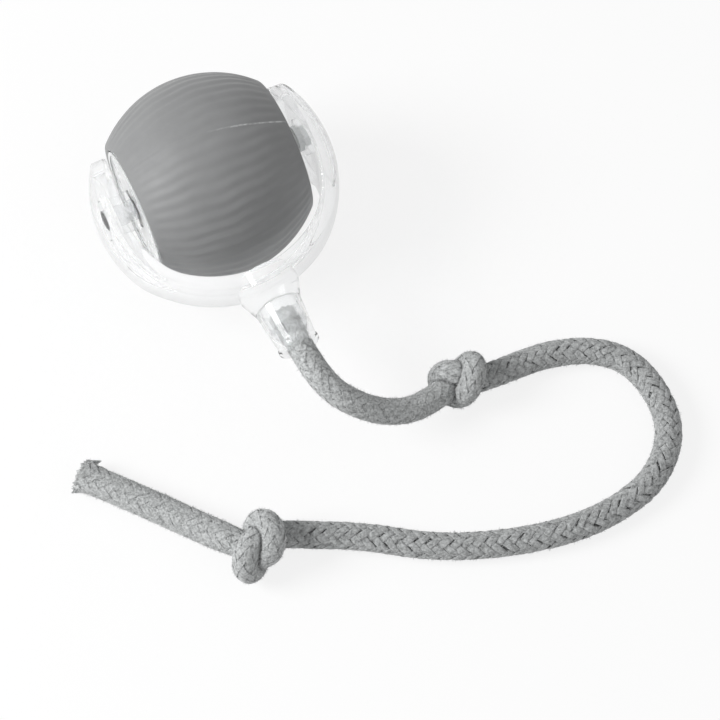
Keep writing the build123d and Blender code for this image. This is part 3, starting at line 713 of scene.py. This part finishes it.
def pushed_apart(points, thickness):
    """Points of the rope that lie in each other move apart."""
    gaps = points[:, None, :] - points[None, :, :]
    distance = np.linalg.norm(gaps, axis=2)
    steps = np.linalg.norm(np.diff(points, axis=0), axis=1)
    reach = np.concatenate(([0], np.cumsum(steps)))
    far_along = np.abs(reach[:, None] - reach[None, :]) > knot_skip * thickness
    touching = far_along & (distance < thickness)
    push = np.where(touching, (thickness - distance) / 2, 0) / np.maximum(distance, 1e-6)
    move = (gaps * push[:, :, None]).sum(axis=1)
    return points + knot_push * move / np.maximum(touching.sum(axis=1), 1)[:, None]


def carried_frames(points):
    """The line's way, a side and an up direction at each point, without twist."""
    ways = np.gradient(points, axis=0)
    ways /= np.linalg.norm(ways, axis=1)[:, None]
    side = unit(np.cross(ways[0], (0, 0, 1)))
    sides = [side]
    for way in ways[1:]:
        side = unit(side - way * side.dot(way))
        sides.append(side)
    sides = np.array(sides)
    return ways, sides, np.cross(ways, sides)


def eased(values, rounds):
    """Values along the rope, with soft steps between its pieces."""
    values = np.concatenate(values)
    for _ in range(rounds):
        values[1:-1] = (values[:-2] + 2 * values[1:-1] + values[2:]) / 4
    return values


class Rope:
    """The whole rope's line, cut into the pieces that replace the CAD nodes."""

    def __init__(self):
        lead, loop, tail = (route_line(route) for route in (lead_route, loop_route, tail_route))
        stretches = (
            ("rope_lead", lead, lead_diameter),
            ("rope_knot_near", overhand(lead, loop, **near_knot), near_knot["width"]),
            ("rope_loop", loop, loop_diameter),
            ("rope_knot_far", overhand(loop, tail, **far_knot), far_knot["width"]),
            ("rope_tail", tail, tail_diameter),
        )
        self.spans = {}
        points, radii, reliefs, felts, count = [], [], [], [], 0
        for name, line, width in stretches:
            fine = evenly(line, round(line_length(line) / rope_step) + 1)
            first = count
            if points:
                fine = fine[1:]
                first = count - 1
            points.append(fine)
            radii.append(np.full(len(fine), width / 2))
            reliefs.append(np.full(len(fine), relief[name]))
            felts.append(np.full(len(fine), felting[name]))
            count += len(fine)
            self.spans[name] = slice(first, count)
        self.points = np.vstack(points)
        self.radii = eased(radii, radius_easing)
        self.relief = eased(reliefs, relief_easing)
        self.felt = eased(felts, relief_easing)
        self.ways, self.sides, self.ups = carried_frames(self.points)
        steps = np.linalg.norm(np.diff(self.points, axis=0), axis=1)
        self.reach = np.concatenate(([0], np.cumsum(steps)))
        flare = np.clip(1 - (self.reach[-1] - self.reach) / flare_length, 0, 1)
        self.radii = self.radii * (1 + flare_share * flare ** 2)

    def around(self, span, turn, radius):
        """Points at an angle and radius round the rope's line."""
        sides, ups = self.sides[span], self.ups[span]
        out = np.cos(turn)[:, None] * sides + np.sin(turn)[:, None] * ups
        return self.points[span] + out * radius[:, None], out

    def strand(self, span, hand, index):
        """One flat strand of the braid as rows of ring points."""
        reach, radii = self.reach[span], self.radii[span]
        share = radii / (loop_diameter / 2)
        depth = share * self.relief[span]
        turn = 2 * math.pi * (hand * reach / braid_pitch + index / strands_each_way)
        wave = np.cos(strands_each_way / 2 * turn - math.pi / 4)
        wave = np.sign(wave) * np.abs(wave) ** braid_wave_power
        seed = index + hand_shift * hand
        turn = turn + uneven(reach, seed, strand_sways)
        outer = radii - (strand_half_thickness + braid_wave) * depth
        middle, out = self.around(span, turn, outer + hand * braid_wave * wave * depth)
        ways = unit_rows(np.gradient(middle, axis=0))
        across = unit_rows(np.cross(ways, out))
        out = np.cross(across, ways)
        rings = []
        swell = 1 + uneven(reach, seed, strand_swells)
        for corner in np.linspace(0, 2 * math.pi, strand_sides, endpoint=False):
            wide = squared(math.cos(corner)) * strand_half_width * share * swell
            thick = squared(math.sin(corner)) * strand_half_thickness * depth
            rings.append(middle + across * wide[:, None] + out * thick[:, None])
        rings = np.stack(rings, axis=1)
        return rings + rng.normal(0, strand_noise, rings.shape)

    def below(self, span, rings):
        """How far the rings' points lie under the rope's outside, made deeper near other
        stretches of the rope: the mask for the painted shade.
        """
        away = rings - self.points[span][:, None, :]
        axial = (away * self.ways[span][:, None, :]).sum(axis=2)
        radial = np.sqrt(np.maximum((away ** 2).sum(axis=2) - axial ** 2, 0))
        under = self.radii[span][:, None] - radial
        return np.maximum(under, self.crease(span, rings) * crease_shade_depth)

    def crease(self, span, rings):
        """How near the rings' points lie to another stretch of the rope, from 0 to 1, for the
        painted shade in the creases.
        """
        near = np.zeros(rings.shape[:2])
        for row, index in enumerate(range(span.start, span.stop)):
            others = np.abs(self.reach - self.reach[index]) > crease_skip
            away = np.linalg.norm(rings[row][:, None] - self.points[others][None], axis=2)
            gap = (away - self.radii[others]).min(axis=1)
            near[row] = np.clip(1 - gap / crease_width, 0, 1)
        return near

    def core(self, span):
        """The round middle of the rope under its strands, as rows of ring points."""
        turns = np.linspace(0, 2 * math.pi, core_sides, endpoint=False)
        share = self.radii[span] / (loop_diameter / 2)
        sunk = strand_half_thickness + core_depth * braid_wave
        radius = self.radii[span] - sunk * share * self.relief[span]
        rings = [self.around(span, np.full(len(radius), turn), radius)[0] for turn in turns]
        return np.stack(rings, axis=1)

    def hairs(self, span, count_per_mm):
        """Short fibres that stand off the rope."""
        first, last = span.start, span.stop - 1
        count = int((self.reach[last] - self.reach[first]) * count_per_mm)
        where = rng.uniform(first, last, count)
        low = where.astype(int)
        share = (where - low)[:, None]
        high = np.minimum(low + 1, last)
        root = self.points[low] * (1 - share) + self.points[high] * share
        turn = rng.uniform(0, 2 * math.pi, count)[:, None]
        out = np.cos(turn) * self.sides[low] + np.sin(turn) * self.ups[low]
        root = root + out * (self.radii[low] - hair_root * self.relief[low])[:, None]
        lean = out * rng.uniform(0.0, hair_lift, (count, 1))
        lean += rng.normal(0, hair_scatter, (count, 3))
        lean += self.ways[low] * rng.normal(0, hair_lay, (count, 1))
        length = hair_length * rng.uniform(*hair_length_range, (count, 1))
        tip = root + unit_rows(lean) * length
        bend = (root + tip) / 2 + out * length * hair_bend
        return root, bend, tip, unit_rows(np.cross(lean, out)), self.reach[low]


def uneven(reach, seed, waves):
    """Slow changes along a strand that differ from strand to strand."""
    return sum(share * np.sin(reach / length + seed * shift) for share, length, shift in waves)


def squared(value):
    """A sine or cosine changed so that a strand's section has a flatter top."""
    return math.copysign(abs(value) ** strand_squareness, value)


class Builder:
    """Collects rings and ribbons into one mesh with a UV map along the fibres."""

    def __init__(self):
        self.points, self.faces, self.uvs, self.count = [], [], [], 0
        self.sunk, self.felt = [], []

    def rings(self, rows, reach, offset, sunk, felt):
        """A closed tube from rows of ring points in millimetres."""
        height, width = rows.shape[:2]
        index = np.arange(height * width).reshape(height, width) + self.count
        index = np.hstack([index, index[:, :1]])
        self.faces.extend(cells(index))
        u, v = np.meshgrid(offset + np.arange(width + 1) / width, reach)
        grid = np.stack([u, v], axis=-1)
        corners = [grid[:-1, :-1], grid[:-1, 1:], grid[1:, 1:], grid[1:, :-1]]
        self.uvs.append(np.stack(corners, axis=2).reshape(-1, 2))
        for row, order in ((index[0, :-1], -1), (index[-1, :-1], 1)):
            self.faces.append(row[::order].tolist())
            self.uvs.append(np.tile([[offset, reach[0]]], (width, 1)))
        self.points.append(rows.reshape(-1, 3))
        self.sunk.append(np.broadcast_to(sunk, (height, width)).reshape(-1))
        self.felt.append(np.repeat(felt, width))
        self.count += height * width

    def ribbons(self, root, bend, tip, across, reach, width):
        """Thin fibres, each a bent strip that ends in a point."""
        count = len(root)
        half = across * width / 2
        block = np.stack([root - half, root + half, bend - half, bend + half, tip], axis=1)
        base = np.arange(count)[:, None] * 5 + self.count
        self.faces.extend((base + np.array([0, 1, 3, 2])).tolist())
        self.faces.extend((base + np.array([2, 3, 4])).tolist())
        for corners in (4, 3):
            column = np.repeat(np.arange(count) * hair_uv_step, corners)
            self.uvs.append(np.stack([column, np.repeat(reach, corners)], axis=-1))
        self.points.append(block.reshape(-1, 3))
        # Fibres get no painted shade and the full felted colour
        self.sunk.append(np.zeros(count * 5))
        self.felt.append(np.ones(count * 5))
        self.count += count * 5

    def mesh(self, name):
        """The mesh of all that was added, with nothing under the floor."""
        points = np.vstack(self.points) * mm
        points[:, 2] = np.maximum(points[:, 2], 0)
        mesh = smooth_mesh(name, points, self.faces)
        layer = mesh.uv_layers.new(name="fibres")
        layer.data.foreach_set("uv", np.vstack(self.uvs).ravel())
        # The mask for the painted shade, and the share of felting, for the rope's material
        set_values(mesh, "sunk", np.concatenate(self.sunk))
        set_values(mesh, "felt", np.concatenate(self.felt))
        return mesh


def rope_mesh(rope, name):
    """One stretch of the rope: its core, strands and fluff, and the fray at the cut end."""
    span = rope.spans[name]
    reach = rope.reach[span]
    felt = rope.felt[span]
    builder = Builder()
    core = rope.core(span)
    sunk = rope.below(span, core)
    # The cut end's cap gets no painted shade
    if name == "rope_tail":
        sunk[-1] = 0
    builder.rings(core, reach, 0, sunk, felt)
    for hand in (-1, 1):
        for index in range(strands_each_way):
            offset = strand_uv_step * (index + strands_each_way * (hand + 1))
            strand = rope.strand(span, hand, index)
            builder.rings(strand, reach, offset, rope.below(span, strand), felt)
    builder.ribbons(*rope.hairs(span, hair_counts[name]), hair_width)
    if name == "rope_tail":
        add_fray(builder, rope)
    return builder.mesh(name)


def add_fray(builder, rope):
    """Loose fibres and two small tufts at the rope's cut end."""
    end, way = rope.points[-1], rope.ways[-1]
    side, up = rope.sides[-1], rope.ups[-1]
    radius = rope.radii[-1]
    turn = rng.uniform(0, 2 * math.pi, (fray_count, 1))
    spread = np.sqrt(rng.uniform(0, 1, (fray_count, 1)))
    out = np.cos(turn) * side + np.sin(turn) * up
    root = end + out * spread * radius * fray_fill - way * fray_root
    lean = way + out * spread * fray_spread + rng.normal(0, fray_scatter, (fray_count, 3))
    length = fray_length * rng.uniform(*fray_length_range, (fray_count, 1))
    length *= 1 - fray_round * spread ** 2
    tip = root + unit_rows(lean) * length
    across = unit_rows(np.cross(lean, out))
    reach = np.full(fray_count, rope.reach[-1])
    bend = (root + tip) / 2 + out * fray_bend
    builder.ribbons(root, bend, tip, across, reach, fray_width)
    level = unit(np.cross(way, (0, 0, 1)))
    for start, stop in tufts:
        root = end + level * start[0] + way * start[1]
        root = root + rng.normal(0, tuft_root_scatter, (tuft_count, 3))
        tip = end + level * stop[0] + way * stop[1]
        tip = tip + rng.normal(0, tuft_tip_scatter, (tuft_count, 3))
        across = unit_rows(np.cross(tip - root, rng.normal(0, 1, (tuft_count, 3))))
        builder.ribbons(root, (root + tip) / 2, tip, across, reach[:tuft_count], fray_width)


def make_rope():
    """The rope's five pieces."""
    rope = Rope()
    for name in rope.spans:
        mesh = rope_mesh(rope, name)
        add_piece("braided_" + name, mesh, "grey_rope", "yoke", name)


# Studio


def aim(thing, place, target):
    """Puts a camera or lamp at a place in metres, turned towards the target."""
    thing.location = place
    way = Vector(target) - Vector(place)
    thing.rotation_euler = way.to_track_quat("-Z", "Y").to_euler()


def add_lamp(name, place, size, power):
    lamp = bpy.data.lights.new(name, "AREA")
    lamp.shape = "DISK"
    lamp.size = size
    lamp.energy = power
    aim(placed(name, lamp), place, lamp_target)


def white_for_eye(tree, lit, glow_kind, target, share):
    """Mixes plain white into a surface for camera, mirror and glass rays only."""
    path = tree.nodes.new("ShaderNodeLightPath")
    rays = path.outputs["Is Camera Ray"]
    for kind in ("Is Glossy Ray", "Is Transmission Ray"):
        either = tree.nodes.new("ShaderNodeMath")
        either.operation = "MAXIMUM"
        tree.links.new(rays, either.inputs[0])
        tree.links.new(path.outputs[kind], either.inputs[1])
        rays = either.outputs[0]
    amount = tree.nodes.new("ShaderNodeMath")
    amount.operation = "MULTIPLY"
    amount.inputs[1].default_value = share
    tree.links.new(rays, amount.inputs[0])
    glow = tree.nodes.new(glow_kind)
    glow.inputs["Color"].default_value = (1, 1, 1, 1)
    glow.inputs["Strength"].default_value = 1.0
    mix = tree.nodes.new("ShaderNodeMixShader")
    tree.links.new(amount.outputs[0], mix.inputs[0])
    tree.links.new(lit, mix.inputs[1])
    tree.links.new(glow.outputs[0], mix.inputs[2])
    tree.links.new(mix.outputs[0], target)


def make_floor():
    mesh = bpy.data.meshes.new("floor")
    corners = [(-1, -1), (1, -1), (1, 1), (-1, 1)]
    points = [(x * floor_half, y * floor_half, floor_level) for x, y in corners]
    mesh.from_pydata(points, [], [(0, 1, 2, 3)])
    shade = Shade("pale_floor", (0.9, 0.9, 0.9), 0.9)
    shade.set("Specular IOR Level", 0.1)
    target = shade.tree.nodes["Material Output"].inputs["Surface"]
    lit = shade.shader.outputs["BSDF"]
    white_for_eye(shade.tree, lit, "ShaderNodeEmission", target, floor_whiteness)
    mesh.materials.append(shade.material)
    placed("floor", mesh)


def make_world():
    world = bpy.data.worlds.new("studio")
    bpy.context.scene.world = world
    world.use_nodes = True
    tree = world.node_tree
    back = tree.nodes["Background"]
    back.inputs["Color"].default_value = (1, 1, 1, 1)
    back.inputs["Strength"].default_value = world_strength
    target = tree.nodes["World Output"].inputs["Surface"]
    white_for_eye(tree, back.outputs[0], "ShaderNodeBackground", target, world_whiteness)


def make_camera():
    data = bpy.data.cameras.new("camera")
    data.lens = camera_lens
    data.sensor_width = camera_sensor
    data.clip_start, data.clip_end = camera_clip
    camera = placed("camera", data)
    aim(camera, Vector(camera_place) * mm, Vector(camera_target) * mm)
    bpy.context.scene.camera = camera


def make_studio():
    bpy.context.scene.view_settings.view_transform = "Standard"
    make_world()
    make_floor()
    for lamp in lamps:
        add_lamp(*lamp)


make_camera()
make_rope()
dress_cad_nodes()
make_tread()
make_studio()
